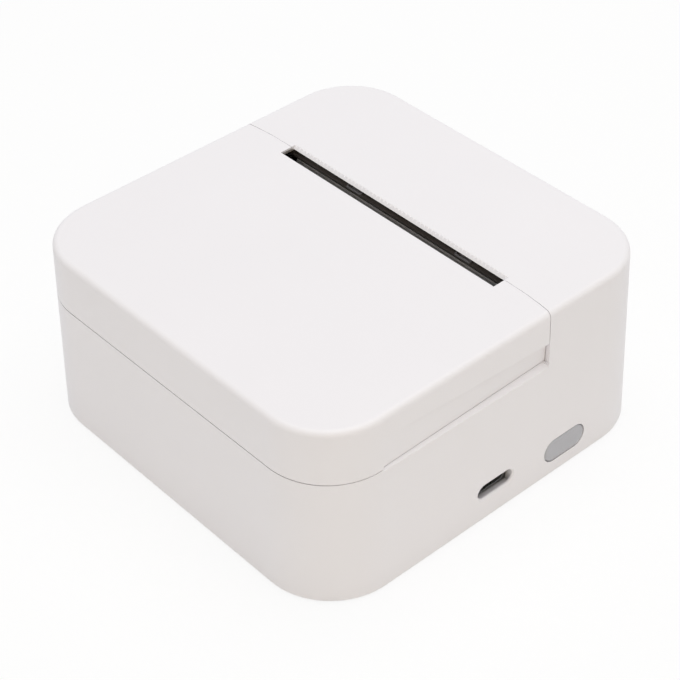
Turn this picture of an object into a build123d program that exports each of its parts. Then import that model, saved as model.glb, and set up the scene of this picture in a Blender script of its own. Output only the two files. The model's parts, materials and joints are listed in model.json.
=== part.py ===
"""Portable thermal printer: a square case with a hinged front lid, a paper slot and its print mechanism.

Millimetres. +Z is up, +X is the side with the socket and the button, -Y is the hinge side.
The origin is on the floor, under the middle of the case. The paper slot runs along X.
"""
from build123d import *
import os
from math import acos, atan, cos, degrees, hypot, pi, radians, sin, sqrt, tan

# Case
case_draft = 1.2
case_corner = 14.3
top_round = 1.2
base_round = 0.3
wall = 2.0
top_wall = 2.0
foot_proud = 0.4
running_gap = 0.05

# Seam between lid and shell
seam_drop = 5.1
seam_gap = 0.18
seam_top_gap = 0.08
seam_step = 1.0
seam_bend = 2.0
lip_thickness = 0.8
lip_overlap = 0.6
lip_reach = 1.0
lip_height = 4.0
lip_clearance = 0.15

# Paper slot and tear edge
paper_width = 57.0
slot_play = 1.0
slot_width = 2.8
slot_centre_x = 0.3
slot_rim = 0.4
slot_undercut = 1.2
tear_step = 2.2
tear_setback = 0.4
tear_rim = 0.6
tooth_pitch = 1.0
tooth_width = 0.9
tooth_depth = 0.35
tooth_reach = 0.75
tooth_foot = 0.25
tooth_count = 58

# Finger recess on each side of the lid
recess_inset = 8.2
recess_drop_front = 4.5
recess_drop_rear = 6.7
recess_depth_front = 0.45
recess_depth_rear = 1.25
ledge_drop = 0.7

# Lid
lid_wall = 2.2
hinge_inset = 6.5
hinge_drop = 5.4
hinge_pin_radius = 1.2
hinge_eye_radius = 2.6
hinge_boss_length = 4.0
arm_width = 2.4
arm_half_height = 2.2
arm_gap = 0.3
arm_side_gap = 0.7
arm_reach = 13.6
arm_depth = 4.0
rail_thickness = 1.6
rail_drop = 1.4
rail_room = 1.8
rail_front_step = 10.9
rail_rear_step = 6.0
cross_rail_depth = 5.6
lid_boss_radius = 2.3
lid_screw_inset = 2.9
lid_screw_front = 17.0
lid_screw_rear = 2.8

# Platen roller
platen_rise = 11.6
platen_back = 11.8
platen_radius = 4.0
platen_core_radius = 1.5
platen_top_gap = 0.3
platen_hollow_gap = 1.0
rubber_inset = 1.3
rubber_round = 0.3
core_shoulder = 0.6
journal_radius = 1.2
journal_end = 0.6
bush_radius = 2.1
bush_length = 2.0
bush_overhang = 0.5
bracket_radius = 3.0
sweep_gap = 0.3

# Paper trough and chassis
roll_space_radius = 16.0
roll_play = 0.5
trough_wall = 1.2
trough_lift = 1.4
trough_step = 0.7
trough_front_drop = 1.5
end_wall = 1.0
end_wall_rise = 9.0
ramp_drop = 6.6
ramp_back = 2.0
ramp_wall = 1.4
ramp_lip = 1.5
shelf_gap = 0.5
shelf_thickness = 1.2
shelf_margin = 0.5
shelf_rear_step = 0.2
shelf_side_room = 3.6
rib_x = 22.0
rib_thickness = 2.0
rib_front_step = 11.0
rib_rear_gap = 3.5

# Print head
head_tilt = 14.0
head_gap = 0.2
head_overhang = 0.7
head_side_gap = 1.2
ceramic_thickness = 0.8
ceramic_above = 1.4
ceramic_below = 7.5
driver_cover_proud = 0.7
driver_cover_length = 3.4
driver_cover_inset = 3.0
sink_thickness = 2.0
sink_above = 1.2
sink_below = 11.7
head_pivot_drop = 10.5
head_pivot_back = 6.9
head_pin_radius = 0.8
head_ear_wall = 1.0
head_ear_length = 2.4
head_pin_engagement = 2.0
spring_gap = 0.42
spring_space = 4.5
spring_radius = 1.6
spring_wire_radius = 0.25
spring_turns = 5
spring_x = 15.0
spring_drop = 3.0
peg_clearance = 0.15

# Mechanism frame
cheek_thickness = 1.6
cheek_front_step = 0.5
cheek_reach = 26.6
cheek_step_drop = 5.0
frame_wall = 1.6
spring_wall_below = 7.5
tie_thickness = 1.4
tie_height = 2.2
frame_foot = 5.0
frame_foot_thickness = 1.2
frame_screw_inset = 2.6
frame_screw_outset = 2.2
frame_screw_front = 4.8
frame_screw_rear = 4.4
guard_thickness = 0.6
guard_lip = 0.9
guard_gap = 0.4
catch_gap = 0.9
catch_leaf = 0.3
catch_side_gap = 0.1

# Wire clips on the front edge of the guard
clip_places_x = [-12.0, 17.5]
clip_length = 3.8
clip_width = 0.6
clip_wire = 0.25

# Gears
gear_module = 0.4
pressure_angle = 20.0
backlash = 0.07
mesh_slack = 0.05
addendum = 0.85
dedendum = 1.2
platen_teeth = 14
idler_teeth = 28
small_teeth = 12
large_teeth = 36
pinion_teeth = 10
gear_width = 2.4
gear_side_gap = 0.7
gear_step_gap = 0.4
axle_radius = 1.0
axle_end_gap = 0.15
axle_clip_room = 1.2
axle_clip_setback = 0.9
axle_clip_thickness = 0.4
axle_clip_wall = 0.8
axle_clip_mouth = 1.0
reduction_angle = -30.0
motor_angle = -9.0
side_room = 1.5
rear_room = 2.8

# Motor
motor_radius = 7.5
motor_length = 12.0
motor_edge = 0.4
motor_shaft_radius = 0.75
motor_shaft_tail = 0.8
motor_shaft_end = 0.3
motor_boss_radius = 3.0
motor_screw_offset = 5.0
motor_screw_radius = 0.6
motor_screw_depth = 2.0
motor_screw_head_radius = 1.2
motor_screw_head_height = 0.5

# Base cover
base_thickness = 2.0
base_gap = 0.15
boss_radius = 2.75
boss_reach = 9.9
boss_height = 7.4
boss_roof = 1.0
foot_radius = 3.5
foot_thickness = 1.0
foot_round = 0.2
foot_spread = 28.0

# Screws
screw_radius = 0.85
screw_hole_radius = 0.9
screw_pass_radius = 1.1
screw_head_radius = 1.9
screw_head_height = 1.1
screw_sink = 0.05
cross_width = 0.45
cross_depth = 0.6
screw_tip_gap = 0.4
post_screw_depth = 4.0

# Battery with its pad and leads
battery_length = 40.0
battery_depth = 34.0
battery_thickness = 7.0
battery_round = 2.0
battery_play = 0.4
battery_tuck = 2.7
battery_rear_room = 9.9
pad_thickness = 0.3
pad_margin = 3.0
lead_radius = 0.5
lead_spread = 2.0

# Posts that carry the shelf and the board
post_radius = 2.1
post_foot_radius = 3.0
post_inset = 4.2
post_board_gap = 0.15
post_front_step = 9.0
post_rear_step = 16.5
board_post_inset = 3.7
board_post_front = 1.5
board_post_rear = 16.0

# Main board
board_width = 29.2
board_thickness = 1.2
board_rise = 3.2
board_gap = 2.0
board_side_gap = 2.4
board_front_step = 3.0
board_rear_step = 0.5

# Parts on the board: (along X, along Y, height)
processor_size = (7.0, 7.0, 0.9)
power_chip_size = (4.0, 4.0, 0.8)
inductor_size = (4.0, 5.0, 1.5)
capacitor_size = (3.0, 1.6, 1.0)
radio_size = (8.0, 11.0, 1.6)
flex_connector_size = (15.4, 3.0, 1.8)
battery_connector_size = (4.0, 5.2, 2.6)
part_gap = 1.0
board_margin = 1.5
flex_back = 8.4
flex_slot_play = 0.6
flex_width = 13.0
flex_thickness = 0.25
flex_bend = 3.0

# Paper sensor
sensor_x = 15.0
sensor_step = 7.0
sensor_length = 4.2
sensor_width = 3.2
sensor_thickness = 1.6
sensor_gap = 0.05

# Charging socket and its opening
socket_step = 5.8
socket_rise = 1.35
socket_opening_length = 9.5
socket_opening_height = 3.8
socket_opening_drop = 0.15
socket_seat_depth = 0.7
socket_opening_edge = 0.35
socket_opening_wall = 0.65
socket_setback = 1.4
socket_width = 7.5
socket_height = 2.6
socket_depth = 5.0
socket_metal = 0.3
socket_back = 0.6
socket_corner_rise = 1.2
socket_corner_inset = 0.9
tongue_width = 4.4
tongue_height = 0.6
tongue_rise = 1.5
tongue_recess = 0.6

# Button and its switch
button_step = 18.0
button_rise = 0.2
button_length = 10.55
button_height = 4.95
button_gap = 0.1
button_proud = 0.1
button_round = 0.6
button_flange = 0.7
button_flange_gap = 0.2
button_flange_length = 0.7
button_flange_height = 0.55
switch_inset = 1.6
switch_width = 4.6
switch_depth = 3.0
switch_height = 2.0
switch_well = 1.0
plunger_width = 1.6
plunger_height = 1.0
plunger_play = 0.1
plunger_travel = 0.9

# Heights worked out from the sizes above
base_z = foot_proud
base_top_z = base_z + base_thickness
shelf_z = base_top_z + pad_thickness + battery_thickness + shelf_gap
shelf_top_z = shelf_z + shelf_thickness
board_top_z = base_top_z + board_rise
boss_top = base_top_z + boss_height
trough_outer = roll_space_radius + trough_wall
roll_centre_z = base_top_z + trough_lift + trough_outer
hinge_z = roll_centre_z - hinge_drop
platen_z = roll_centre_z + platen_rise
seam_z = platen_z - seam_drop
ceiling_z = platen_z + platen_radius + platen_top_gap
top_z = ceiling_z + top_wall
case_height = top_z - base_z
draft_angle = degrees(atan(case_draft / case_height))
rail_top_z = ceiling_z - rail_drop
rail_z = rail_top_z - rail_thickness
cheek_step_z = platen_z - cheek_step_drop
trough_front_top = seam_z - trough_front_drop
end_wall_top = roll_centre_z + end_wall_rise
recess_top_front = top_z - recess_drop_front
recess_top_rear = top_z - recess_drop_rear

# Places along X, from the paper out to the wider of the gear train and the row of battery and board
slot_length = paper_width + slot_play
seam_bend_x = slot_length / 2 + seam_bend
platen_half_length = paper_width / 2 - rubber_inset
inside_half_width = paper_width / 2 + roll_play
trough_half = inside_half_width + end_wall
arm_start_x = trough_half + arm_side_gap
arm_end_x = arm_start_x + arm_width
head_half_width = paper_width / 2 + head_overhang
cheek_inner_x = head_half_width + head_side_gap
cheek_outer_x = cheek_inner_x + cheek_thickness
bush_start_x = cheek_inner_x - bush_overhang
inner_gear_x = cheek_outer_x + gear_side_gap
outer_gear_x = inner_gear_x + gear_width + gear_step_gap
idler_axle_end = inner_gear_x + gear_width + axle_end_gap
reduction_axle_end = outer_gear_x + gear_width + axle_clip_room
gear_stack = 2 * (reduction_axle_end + side_room)
battery_stack = post_inset + post_foot_radius + battery_play + battery_length
board_stack = board_gap + board_width + board_side_gap
case_width = max(gear_stack, battery_stack + board_stack) + 2 * wall
corner_x = case_width / 2 - case_corner
rail_outer_x = case_width / 2 - case_draft - lid_wall - rail_room
shelf_half_width = case_width / 2 - wall - shelf_side_room
left_post_x = wall + post_inset - case_width / 2
battery_left_x = left_post_x + post_foot_radius + battery_play
battery_right_x = battery_left_x + battery_length
board_right_x = case_width / 2 - wall - board_side_gap
board_left_x = board_right_x - board_width
right_post_x = board_right_x - board_post_inset
switch_x = board_right_x - switch_inset

# Places along Y, from the hinge back to the deeper of the mechanism and the battery
trough_depth = hinge_inset + trough_step + 2 * trough_outer
mechanism_stack = platen_back + cheek_reach + rear_room
pouch_stack = battery_depth - battery_tuck + battery_rear_room
case_depth = trough_depth + max(mechanism_stack, pouch_stack) + wall
corner_y = case_depth / 2 - case_corner
hinge_y = hinge_inset - case_depth / 2
hinge_line = Axis((0, hinge_y, hinge_z), (1, 0, 0))
roll_centre_y = hinge_y + trough_step + trough_outer
trough_front_y = roll_centre_y - trough_outer
trough_rear_y = roll_centre_y + trough_outer
platen_y = trough_rear_y + platen_back
tear_edge_y = platen_y + tear_step
seam_side_y = tear_edge_y - seam_step
recess_start_y = hinge_y + recess_inset
rail_front_y = hinge_y + rail_front_step
rail_rear_y = platen_y - rail_rear_step
cheek_front_y = platen_y - cheek_front_step
cheek_rear_y = platen_y + cheek_reach
shelf_rear_y = cheek_rear_y - shelf_rear_step
battery_front_y = trough_rear_y - battery_tuck
battery_rear_y = battery_front_y + battery_depth
board_front_y = battery_front_y - board_front_step
rib_rear_y = battery_front_y - rib_rear_gap
flex_x = board_left_x + board_margin + flex_connector_size[0] / 2
flex_y = platen_y + flex_back
chips_rear_y = flex_y + flex_connector_size[1] / 2 + processor_size[1] + 2 * board_margin
board_rear_y = max(battery_rear_y + board_rear_step, chips_rear_y)
socket_y = board_front_y + socket_step
socket_z = board_top_z + socket_rise
button_y = socket_y + button_step
button_z = board_top_z + button_rise
platen_reach = hypot(platen_y - hinge_y, platen_z - hinge_z) + platen_radius


def lean(z):
    """How far a case wall has drawn in at height z."""
    return case_draft * (z - base_z) / case_height


def case_section(z, inset, mode=Mode.ADD):
    """Outline of the case at height z, drawn in by inset."""
    cut = lean(z) + inset
    return RectangleRounded(
        case_width - 2 * cut,
        case_depth - 2 * cut,
        case_corner - cut,
        mode=mode,
    )


def side_x(z):
    """Where the right wall's outer face stands at height z."""
    return case_width / 2 - lean(z)


def head_point(back, up):
    """A point of the print head, measured from the platen axis along the tilted head's own directions."""
    tilt = radians(head_tilt)
    y = platen_y + back * cos(tilt) - up * sin(tilt)
    z = platen_z + back * sin(tilt) + up * cos(tilt)
    return (y, z)


def keep(piece, name):
    """Label a finished piece and write it."""
    piece.part.label = name
    export_step(piece.part, f"parts/{name}.step")


def slab(corners, start_x, length):
    """A flat outline given as (y, z) corners, drawn out along X."""
    with BuildPart() as made:
        with BuildSketch(Plane.YZ.offset(start_x)):
            Polygon(*corners, align=None)
        extrude(amount=length)
    return made.part


def rod(y, z, radius, start_x, length):
    """A round bar along X."""
    with BuildPart() as made:
        with BuildSketch(Plane.YZ.offset(start_x)):
            with Locations((y, z)):
                Circle(radius)
        extrude(amount=length)
    return made.part


def both_sides(shape):
    """The shape and its mirror image across the middle of the printer."""
    return [shape, shape.mirror(Plane.YZ)]


os.makedirs("parts", exist_ok=True)

# Outer form that the shell and the lid are both cut from
with BuildPart() as case_form:
    with BuildSketch(Plane.XY.offset(base_z)):
        case_section(base_z, 0)
    extrude(amount=case_height, taper=draft_angle)
    fillet(case_form.faces().sort_by(Axis.Z)[-1].edges(), top_round)
    fillet(case_form.faces().sort_by(Axis.Z)[0].edges(), base_round)


def lid_space(gap, top_gap):
    """Room above the seam and in front of the tear edge, drawn in by the gaps where it meets the shell."""
    far = case_width
    with BuildPart() as space:
        with BuildSketch(Plane.XY.offset(seam_z + gap)):
            with BuildLine():
                Line((0, tear_edge_y - top_gap), (seam_bend_x, tear_edge_y - top_gap))
                bend_end = (case_width / 2, seam_side_y - gap)
                TangentArc((seam_bend_x, tear_edge_y - top_gap), bend_end, tangent=(1, 0))
                Polyline(bend_end, (far, seam_side_y - gap), (far, -far), (0, -far))
                mirror(about=Plane.YZ)
            make_face()
        extrude(amount=case_height)
    return space.part


def cut_plane(front_low, rear_low, third):
    """The plane through three points, its first direction running along the case's side."""
    first = Vector(*front_low)
    along = Vector(*rear_low) - first
    across = Vector(*third) - first
    return Plane(origin=first, x_dir=along, z_dir=along.cross(across))


def side_point(y, z, depth):
    """A point that lies depth below the right wall's outer face."""
    return (side_x(z) - depth, y, z)


# Wedge that the finger recess takes out of the lid's sides
with BuildPart() as finger_recess:
    rear_y = seam_side_y
    recess_plane = cut_plane(
        side_point(recess_start_y, seam_z, recess_depth_front),
        side_point(rear_y, seam_z, recess_depth_rear),
        side_point(recess_start_y, recess_top_front, 0),
    )
    rise_step = (recess_top_rear - recess_top_front) / (rear_y - recess_start_y)
    over_y = rear_y + top_wall
    outline = [
        (recess_start_y, seam_z - wall),
        (over_y, seam_z - wall),
        (over_y, recess_top_rear + rise_step * top_wall),
        (recess_start_y, recess_top_front),
    ]
    corners = []
    for y, z in outline:
        level = recess_plane.z_dir
        start = recess_plane.origin
        x = start.X - (level.Y * (y - start.Y) + level.Z * (z - start.Z)) / level.X
        corners.append(recess_plane.to_local_coords(Vector(x, y, z)))
    with BuildSketch(recess_plane):
        Polygon(*[(corner.X, corner.Y) for corner in corners], align=None)
    extrude(amount=2 * wall, dir=(1, 0, 0))
    mirror(about=Plane.YZ)

# Sloping ledge that the recess leaves along the top of the shell's side walls
with BuildPart() as ledge_cut:
    ledge_plane = cut_plane(
        side_point(recess_start_y, seam_z, recess_depth_front),
        side_point(seam_side_y, seam_z, recess_depth_rear),
        side_point(seam_side_y, seam_z - ledge_drop, 0),
    )
    outline = [
        (side_x(seam_z) - 2 * wall, recess_start_y),
        (side_x(seam_z) + wall, recess_start_y),
        (side_x(seam_z) + wall, seam_side_y),
        (side_x(seam_z) - 2 * wall, seam_side_y),
    ]
    corners = []
    for x, y in outline:
        level = ledge_plane.z_dir
        start = ledge_plane.origin
        z = start.Z - (level.X * (x - start.X) + level.Y * (y - start.Y)) / level.Z
        corners.append(ledge_plane.to_local_coords(Vector(x, y, z)))
    with BuildSketch(ledge_plane):
        Polygon(*[(corner.X, corner.Y) for corner in corners], align=None)
    extrude(amount=4 * wall, dir=(0, 0, 1))
    mirror(about=Plane.YZ)

# Screw places
base_screw_places = [
    (sx * (corner_x + boss_reach / sqrt(2)), sy * (corner_y + boss_reach / sqrt(2)))
    for sx in (-1, 1)
    for sy in (-1, 1)
]
board_post_places = [
    (right_post_x, platen_y - board_post_front),
    (right_post_x, platen_y + board_post_rear),
]
post_places = [
    *board_post_places,
    (left_post_x, platen_y - post_front_step),
    (left_post_x, platen_y + post_rear_step),
]
frame_screw_places = [
    (side * x, y)
    for x, y in (
        (cheek_inner_x - frame_screw_inset, platen_y + frame_screw_front),
        (cheek_outer_x + frame_screw_outset, cheek_rear_y - frame_screw_rear),
    )
    for side in (1, -1)
]
lid_screw_places = [
    (side * (rail_outer_x - lid_screw_inset), y)
    for y in (rail_rear_y - lid_screw_front, rail_rear_y - lid_screw_rear)
    for side in (1, -1)
]

# Planes square to the right wall, through the socket opening and the button
wall_normal = (cos(radians(draft_angle)), 0, sin(radians(draft_angle)))


def wall_plane(y, z, out):
    """A plane on the right wall at (y, z), moved out by out."""
    place = Plane(origin=(side_x(z), y, z), x_dir=(0, 1, 0), z_dir=wall_normal)
    return place.offset(out)


def swing_form(gap):
    """Round form about the hinge that the shell's front wall stays inside and the lid stays outside."""
    turn_radius = case_corner - lean(seam_z)
    side_angle = acos((-hinge_y - corner_y) / turn_radius)
    curve = []
    steps = 6
    for step in range(steps + 1):
        angle = side_angle * step / steps
        out_y = corner_y + turn_radius * cos(angle)
        out_x = corner_x + turn_radius * sin(angle)
        curve.append((out_x, hinge_z + hypot(out_y + hinge_y, seam_z - hinge_z) + gap))
    with BuildPart() as form:
        with BuildSketch(Plane.XZ.offset(-hinge_y)):
            with BuildLine():
                Line((0, hinge_z), (0, curve[0][1]))
                Line((0, curve[0][1]), curve[0])
                Spline(*curve)
                Line(curve[-1], (curve[-1][0], hinge_z))
                Line((curve[-1][0], hinge_z), (0, hinge_z))
            make_face()
        revolve(axis=hinge_line, revolution_arc=360)
        mirror(about=Plane.YZ)
    return form.part


swing_room = swing_form(seam_gap)
lip_room = swing_form(-running_gap)

# Inner lip round the front: it closes the seam and follows the swing of the lid
with BuildPart() as front_lip:
    with BuildSketch(Plane.XY.offset(seam_z - lip_height / 2)):
        case_section(seam_z, wall - lip_overlap)
        case_section(seam_z, wall + lip_thickness, mode=Mode.SUBTRACT)
        with Locations((0, -case_depth / 2)):
            Rectangle(2 * corner_x, case_corner, mode=Mode.INTERSECT)
    extrude(amount=lip_height)
    add(lip_room, mode=Mode.INTERSECT)

# Outer shell: side walls, fixed rear top and tear edge in one moulding
with BuildPart() as outer_shell:
    add(case_form.part)
    with BuildSketch(Plane.XY.offset(base_z)):
        case_section(base_z, wall)
    extrude(amount=case_height - top_wall, taper=draft_angle, mode=Mode.SUBTRACT)
    add(lid_space(0, 0), mode=Mode.SUBTRACT)
    add(ledge_cut.part, mode=Mode.SUBTRACT)
    # the tear edge stands back behind the slot: a short slope above, a longer one beneath
    rim_y = tear_edge_y + tear_setback
    rim_z = top_z - tear_rim
    with BuildSketch(Plane.YZ.offset(slot_centre_x - slot_length / 2)):
        Polygon(
            (tear_edge_y - slot_width, top_z + wall),
            (rim_y + tear_rim + wall, top_z + wall),
            (rim_y, rim_z),
            (rim_y + rim_z - ceiling_z, ceiling_z),
            (tear_edge_y - slot_width, ceiling_z),
            align=None,
        )
    extrude(amount=slot_length, mode=Mode.SUBTRACT)
    with BuildSketch(Plane.XY.offset(rim_z)):
        with Locations((slot_centre_x, tear_edge_y)):
            with GridLocations(slot_length + slot_undercut, 0, 2, 1):
                Rectangle(slot_undercut, 2 * (tear_setback + rim_z - ceiling_z))
    extrude(amount=ceiling_z - rim_z, mode=Mode.SUBTRACT)
    # tear teeth: grooves that run out on the top and end on the upper slope
    tooth_y = rim_y + tooth_foot
    with BuildSketch(Plane.XZ.offset(-tooth_y)):
        with Locations((slot_centre_x, top_z)):
            with GridLocations(tooth_pitch, 0, tooth_count, 1):
                Polygon(
                    (0, -tooth_depth),
                    (tooth_width / 2, 0),
                    (-tooth_width / 2, 0),
                    align=None,
                )
    extrude(
        amount=hypot(tooth_reach, tooth_depth),
        dir=(0, tooth_reach, tooth_depth),
        mode=Mode.SUBTRACT,
    )
    # bosses for the base screws, joined to the corners
    with BuildSketch(Plane.XY.offset(base_top_z)):
        with Locations(*base_screw_places):
            Circle(boss_radius)
    extrude(amount=boss_top - base_top_z)
    with BuildSketch(Plane.XY.offset(base_top_z)):
        with Locations(*base_screw_places):
            Circle(screw_hole_radius)
    extrude(amount=boss_height - boss_roof, mode=Mode.SUBTRACT)
    add(front_lip.part)
    # inner lip along the sides, on a thicker root
    lip_inset = lid_wall + lip_clearance
    side_reach = (seam_side_y - corner_y) / 2
    side_length = corner_y + seam_side_y - 2 * lip_reach
    with BuildSketch(Plane.XY.offset(seam_z - lip_height + lip_reach)):
        case_section(seam_z, wall - lip_clearance)
        case_section(seam_z, lip_inset + lip_thickness, mode=Mode.SUBTRACT)
        with Locations((0, side_reach)):
            Rectangle(case_width, side_length, mode=Mode.INTERSECT)
    extrude(amount=lip_height - lip_reach - lip_overlap + 2 * running_gap)
    with BuildSketch(Plane.XY.offset(seam_z - lip_height + lip_reach)):
        case_section(seam_z, lip_inset)
        case_section(seam_z, lip_inset + lip_thickness, mode=Mode.SUBTRACT)
        with Locations((0, side_reach)):
            Rectangle(case_width, side_length, mode=Mode.INTERSECT)
    extrude(amount=lip_height)
    # socket opening: a narrowed mouth with a deeper seat behind it
    mouth_length = socket_opening_length - 2 * socket_opening_edge
    mouth_height = socket_opening_height - 2 * socket_opening_edge
    opening_z = socket_z - socket_opening_drop
    with BuildSketch(wall_plane(socket_y, opening_z, 0)):
        SlotOverall(socket_opening_length, socket_opening_height)
    extrude(amount=-socket_opening_edge, taper=45, mode=Mode.SUBTRACT)
    with BuildSketch(wall_plane(socket_y, opening_z, wall)):
        SlotOverall(mouth_length, mouth_height)
    extrude(amount=-3 * wall, mode=Mode.SUBTRACT)
    seat_z = opening_z - socket_seat_depth / 2
    with BuildSketch(wall_plane(socket_y, seat_z, -socket_opening_wall)):
        Rectangle(mouth_length, mouth_height + socket_seat_depth)
    extrude(amount=-2 * wall, mode=Mode.SUBTRACT)
    # button hole
    with BuildSketch(wall_plane(button_y, button_z, wall)):
        SlotOverall(button_length + 2 * button_gap, button_height + 2 * button_gap)
    extrude(amount=-3 * wall, mode=Mode.SUBTRACT)

# Base cover with posts for the chassis
with BuildPart() as base_cover:
    with BuildSketch(Plane.XY.offset(base_z)):
        case_section(base_top_z, wall + base_gap)
    extrude(amount=base_thickness)
    with BuildSketch(Plane.XY.offset(base_top_z)):
        with Locations(*post_places):
            Circle(post_foot_radius)
    extrude(amount=board_top_z - board_thickness - base_top_z)
    with BuildSketch(Plane.XY.offset(base_top_z)):
        with Locations(*post_places):
            Circle(post_radius)
    extrude(amount=shelf_z - base_top_z)
    with BuildSketch(Plane.XY.offset(shelf_z)):
        with Locations(*post_places):
            Circle(screw_hole_radius)
    extrude(amount=-(shelf_z - base_top_z - boss_roof), mode=Mode.SUBTRACT)
    with BuildSketch(Plane.XY.offset(base_z)):
        with GridLocations(2 * foot_spread, 2 * foot_spread, 2, 2):
            Circle(foot_radius + running_gap)
    extrude(amount=foot_thickness - foot_proud, mode=Mode.SUBTRACT)
    with Locations(Plane.XY.offset(base_z)):
        with Locations(*[Location((x, y, 0), (180, 0, 0)) for x, y in base_screw_places]):
            CounterSinkHole(screw_pass_radius, screw_head_radius + running_gap, base_thickness + 1)

with BuildPart() as rubber_feet:
    with BuildSketch():
        with GridLocations(2 * foot_spread, 2 * foot_spread, 2, 2):
            Circle(foot_radius)
    extrude(amount=foot_thickness)
    fillet(rubber_feet.faces().group_by(Axis.Z)[0].edges(), foot_round)


def pan_screws(places, seat_z, reach, head_up):
    """Small round-headed screws seated at seat_z, their shanks reaching away from the head."""
    way = 1 if head_up else -1
    with BuildPart() as made:
        with BuildSketch(Plane.XY.offset(seat_z)):
            with Locations(*places):
                Circle(screw_head_radius)
        extrude(amount=way * screw_head_height)
        with BuildSketch(Plane.XY.offset(seat_z)):
            with Locations(*places):
                Circle(screw_radius)
        extrude(amount=-way * reach)
        with BuildSketch(Plane.XY.offset(seat_z + way * screw_head_height)):
            with Locations(*places):
                Rectangle(2 * screw_radius, cross_width)
                Rectangle(cross_width, 2 * screw_radius)
        extrude(amount=-way * screw_head_height / 2, mode=Mode.SUBTRACT)
    return made


with BuildPart() as base_screws:
    sink_depth = screw_head_radius - screw_radius
    for x, y in base_screw_places:
        with BuildSketch(Plane.XY.offset(base_z + screw_sink)):
            with Locations((x, y)):
                Circle(screw_head_radius)
        extrude(amount=sink_depth, taper=45)
    with BuildSketch(Plane.XY.offset(base_z + screw_sink)):
        with Locations(*base_screw_places):
            Circle(screw_radius)
    extrude(amount=boss_top - base_z - 2)
    with BuildSketch(Plane.XY.offset(base_z)):
        with Locations(*base_screw_places):
            Rectangle(2 * screw_pass_radius, cross_width)
            Rectangle(cross_width, 2 * screw_pass_radius)
    extrude(amount=cross_depth, mode=Mode.SUBTRACT)

# Lid: everything in front of the tear edge and above the seam
with BuildPart() as lid_cover:
    add(case_form.part)
    add(lid_space(seam_gap, seam_top_gap), mode=Mode.INTERSECT)
    with BuildSketch(Plane.XY.offset(base_z)):
        case_section(base_z, lid_wall)
    extrude(amount=case_height - top_wall, taper=draft_angle, mode=Mode.SUBTRACT)
    add(swing_room, mode=Mode.SUBTRACT)
    add(finger_recess.part, mode=Mode.SUBTRACT)
    # slot, wider under a thin rim
    with BuildSketch(Plane.XY.offset(ceiling_z - wall)):
        with Locations((slot_centre_x, tear_edge_y)):
            Rectangle(slot_length, 2 * slot_width)
    extrude(amount=2 * top_wall + wall, mode=Mode.SUBTRACT)
    with BuildSketch(Plane.XY.offset(top_z - slot_rim)):
        with Locations((slot_centre_x, tear_edge_y)):
            Rectangle(slot_length + 2 * slot_undercut, 2 * slot_width)
    extrude(amount=-top_wall, mode=Mode.SUBTRACT)
    # hollow over the platen
    hollow_half = slot_length / 2 + slot_centre_x
    hollow_radius = platen_radius + platen_hollow_gap
    add(rod(platen_y, platen_z, hollow_radius, -hollow_half, 2 * hollow_half), mode=Mode.SUBTRACT)
    # bosses for the inner frame
    with BuildSketch(Plane.XY.offset(rail_top_z)):
        with Locations(*lid_screw_places):
            Circle(lid_boss_radius)
    extrude(amount=rail_drop)
    with BuildSketch(Plane.XY.offset(rail_top_z)):
        with Locations(*lid_screw_places):
            Circle(screw_hole_radius)
    extrude(amount=rail_drop + top_wall / 2, mode=Mode.SUBTRACT)

# Inner lid frame: rails, gooseneck hinge arms and platen brackets
with BuildPart() as lid_frame:
    with BuildSketch(Plane.XY.offset(rail_z)):
        with Locations(((arm_start_x + rail_outer_x) / 2, rail_front_y)):
            Rectangle(
                rail_outer_x - arm_start_x,
                rail_rear_y - rail_front_y,
                align=(Align.CENTER, Align.MIN),
            )
        mirror(about=Plane.YZ)
        with Locations((0, rail_rear_y + seam_step)):
            Rectangle(2 * arm_end_x, cross_rail_depth, align=(Align.CENTER, Align.MAX))
    extrude(amount=rail_thickness)
    # arms run level from the hinge, then climb outside the swing of the shell's wall
    with BuildSketch(Plane.YZ.offset(arm_start_x)):
        Polygon(
            (hinge_y, hinge_z - arm_half_height),
            (hinge_y + arm_reach + arm_depth, hinge_z - arm_half_height),
            (hinge_y + arm_reach + arm_depth, rail_top_z),
            (hinge_y + arm_reach, rail_top_z),
            (hinge_y + arm_reach, hinge_z + arm_half_height),
            (hinge_y, hinge_z + arm_half_height),
            align=None,
        )
        with Locations((hinge_y, hinge_z)):
            Circle(hinge_eye_radius)
            Circle(hinge_pin_radius + running_gap, mode=Mode.SUBTRACT)
    arm = extrude(amount=arm_width)
    mirror(arm, about=Plane.YZ)
    # platen brackets
    with BuildSketch(Plane.YZ.offset(bush_start_x)):
        Polygon(
            (rail_rear_y - bush_length, rail_top_z),
            (platen_y - bracket_radius / 3, rail_top_z),
            (platen_y, platen_z + bracket_radius),
            (platen_y, platen_z - bracket_radius),
            (platen_y - bracket_radius, platen_z - bracket_radius / 2),
            (rail_rear_y - bush_length, rail_z),
            align=None,
        )
        with Locations((platen_y, platen_z)):
            Circle(bracket_radius)
            Circle(bush_radius, mode=Mode.SUBTRACT)
    bracket = extrude(amount=bush_length)
    mirror(bracket, about=Plane.YZ)
    with BuildSketch(Plane.XY.offset(rail_z)):
        with Locations(*lid_screw_places):
            Circle(screw_pass_radius)
    extrude(amount=rail_thickness, mode=Mode.SUBTRACT)

lid_screw_reach = rail_thickness + rail_drop + top_wall / 2 - screw_tip_gap
lid_screws = pan_screws(lid_screw_places, rail_z, lid_screw_reach, False)

with BuildPart() as hinge_pins:
    pin_start = arm_start_x - arm_gap - hinge_boss_length
    for pin in both_sides(rod(hinge_y, hinge_z, hinge_pin_radius, pin_start, arm_end_x - pin_start)):
        add(pin)

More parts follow.
